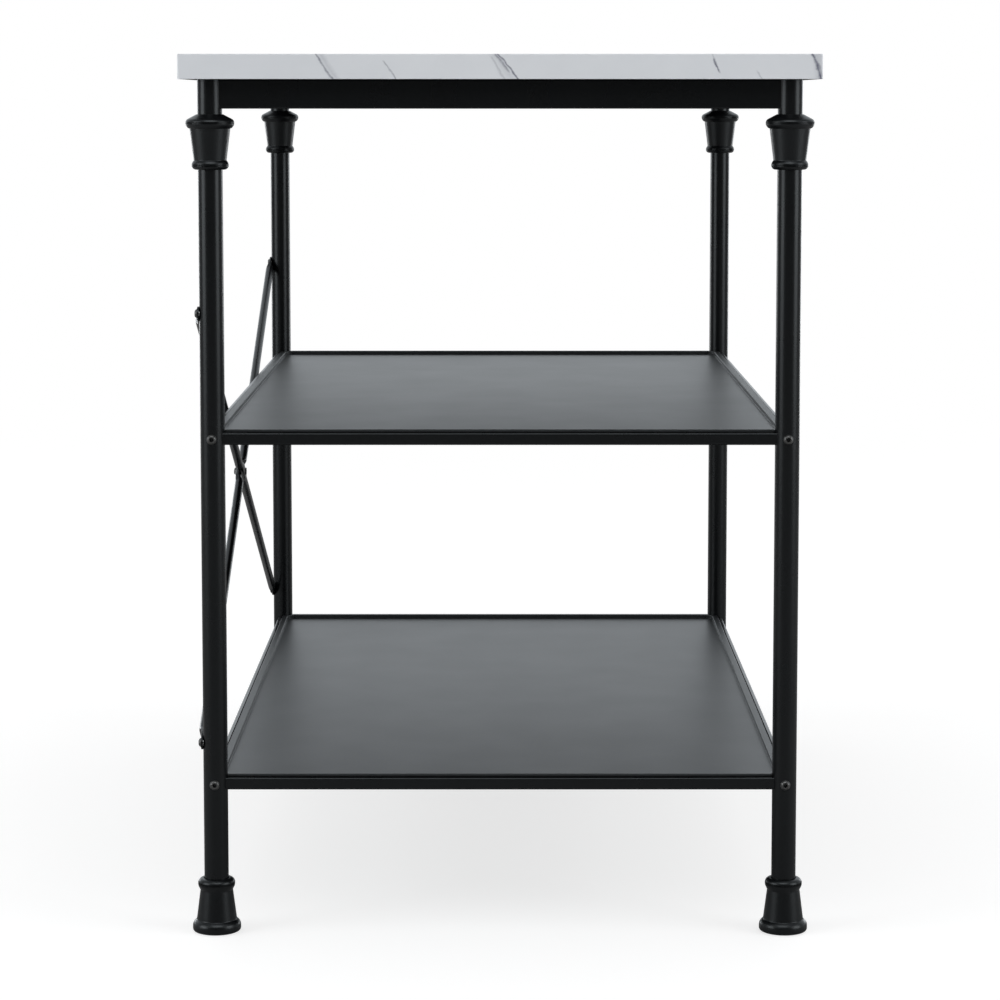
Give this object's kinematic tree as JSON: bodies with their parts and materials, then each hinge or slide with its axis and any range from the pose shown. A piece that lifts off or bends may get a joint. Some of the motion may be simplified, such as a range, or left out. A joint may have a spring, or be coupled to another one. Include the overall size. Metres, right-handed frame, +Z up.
{
  "type": "kitchen island",
  "caption": "Open kitchen island: marble-look worktop on round black legs with turned collars and bell feet, tray shelves between the legs and a crossed brace at the back.",
  "frame": {"origin": "on the floor, under the middle of the worktop", "axes": "+X along the length, -Y the open front, +Y the braced back, +Z up"},
  "size_m": [1.067, 0.654, 0.9144],
  "materials": {
    "marble_laminate": "white marble-look laminate with grey veins, satin",
    "board": "raw fibreboard",
    "backing_sheet": "matt",
    "black_tube": "black powder coat, semi-gloss",
    "black_casting": "black powder coat, semi-gloss",
    "black_tray": "black powder coat, satin",
    "black_bolt": "black oxide",
    "plated_steel": "zinc plated",
    "glide": "matt nylon"
  },
  "bodies": {
    "frame": {"apron_back": "black_tube", "apron_front": "black_tube", "apron_left": "black_tube", "apron_right": "black_tube", "brace_bar_falling": "black_tube", "brace_bar_rising": "black_tube", "brace_centre_bolt": "black_bolt", "brace_centre_nut": "plated_steel", "brace_end_bolts": "black_bolt", "brace_rivet_nuts": "plated_steel", "bracket_bolts": "black_bolt", "collar_back_left": "black_casting", "collar_back_right": "black_casting", "collar_front_left": "black_casting", "collar_front_right": "black_casting", "corner_bracket_back_left": "black_tube", "corner_bracket_back_right": "black_tube", "corner_bracket_front_left": "black_tube", "corner_bracket_front_right": "black_tube", "leg_back_left": "black_tube", "leg_back_right": "black_tube", "leg_front_left": "black_tube", "leg_front_right": "black_tube", "leg_plugs": "plated_steel", "lower_rail_back": "black_tube", "lower_rail_front": "black_tube", "lower_rail_left": "black_tube", "lower_rail_nuts": "plated_steel", "lower_rail_right": "black_tube", "lower_shelf_bolts": "black_bolt", "lower_stiffener": "black_tray", "lower_tray": "black_tray", "upper_rail_back": "black_tube", "upper_rail_front": "black_tube", "upper_rail_left": "black_tube", "upper_rail_nuts": "plated_steel", "upper_rail_right": "black_tube", "upper_shelf_bolts": "black_bolt", "upper_stiffener": "black_tray", "upper_tray": "black_tray", "worktop_backing": "backing_sheet", "worktop_core": "board", "worktop_laminate": "marble_laminate", "worktop_screws": "plated_steel"},
    "pad_front_left": {"glide_pad_front_left": "glide"},
    "foot_front_left": {"foot_front_left": "black_casting", "foot_stud_front_left": "plated_steel"},
    "pad_front_right": {"glide_pad_front_right": "glide"},
    "foot_front_right": {"foot_front_right": "black_casting", "foot_stud_front_right": "plated_steel"},
    "pad_back_left": {"glide_pad_back_left": "glide"},
    "foot_back_left": {"foot_back_left": "black_casting", "foot_stud_back_left": "plated_steel"},
    "pad_back_right": {"glide_pad_back_right": "glide"},
    "foot_back_right": {"foot_back_right": "black_casting", "foot_stud_back_right": "plated_steel"}
  },
  "joints": [
    {"name": "foot_rise_front_left", "type": "slide", "parent": "frame", "child": "pad_front_left", "axis": [0, 0, -1], "range_m": [0, 0.01]},
    {"name": "foot_turn_front_left", "type": "hinge", "parent": "pad_front_left", "child": "foot_front_left", "pos_m": [-0.5035, -0.297, 0], "axis": [0, 0, -1], "range_deg": [0, 2880]},
    {"name": "foot_rise_front_right", "type": "slide", "parent": "frame", "child": "pad_front_right", "axis": [0, 0, -1], "range_m": [0, 0.01]},
    {"name": "foot_turn_front_right", "type": "hinge", "parent": "pad_front_right", "child": "foot_front_right", "pos_m": [0.5035, -0.297, 0], "axis": [0, 0, -1], "range_deg": [0, 2880]},
    {"name": "foot_rise_back_left", "type": "slide", "parent": "frame", "child": "pad_back_left", "axis": [0, 0, -1], "range_m": [0, 0.01]},
    {"name": "foot_turn_back_left", "type": "hinge", "parent": "pad_back_left", "child": "foot_back_left", "pos_m": [-0.5035, 0.297, 0], "axis": [0, 0, -1], "range_deg": [0, 2880]},
    {"name": "foot_rise_back_right", "type": "slide", "parent": "frame", "child": "pad_back_right", "axis": [0, 0, -1], "range_m": [0, 0.01]},
    {"name": "foot_turn_back_right", "type": "hinge", "parent": "pad_back_right", "child": "foot_back_right", "pos_m": [0.5035, 0.297, 0], "axis": [0, 0, -1], "range_deg": [0, 2880]}
  ],
  "couplings": [
    {"joint": "foot_rise_front_left", "follows": "foot_turn_front_left", "m_per_rad": 0.00019894},
    {"joint": "foot_rise_front_right", "follows": "foot_turn_front_right", "m_per_rad": 0.00019894},
    {"joint": "foot_rise_back_left", "follows": "foot_turn_back_left", "m_per_rad": 0.00019894},
    {"joint": "foot_rise_back_right", "follows": "foot_turn_back_right", "m_per_rad": 0.00019894}
  ]
}
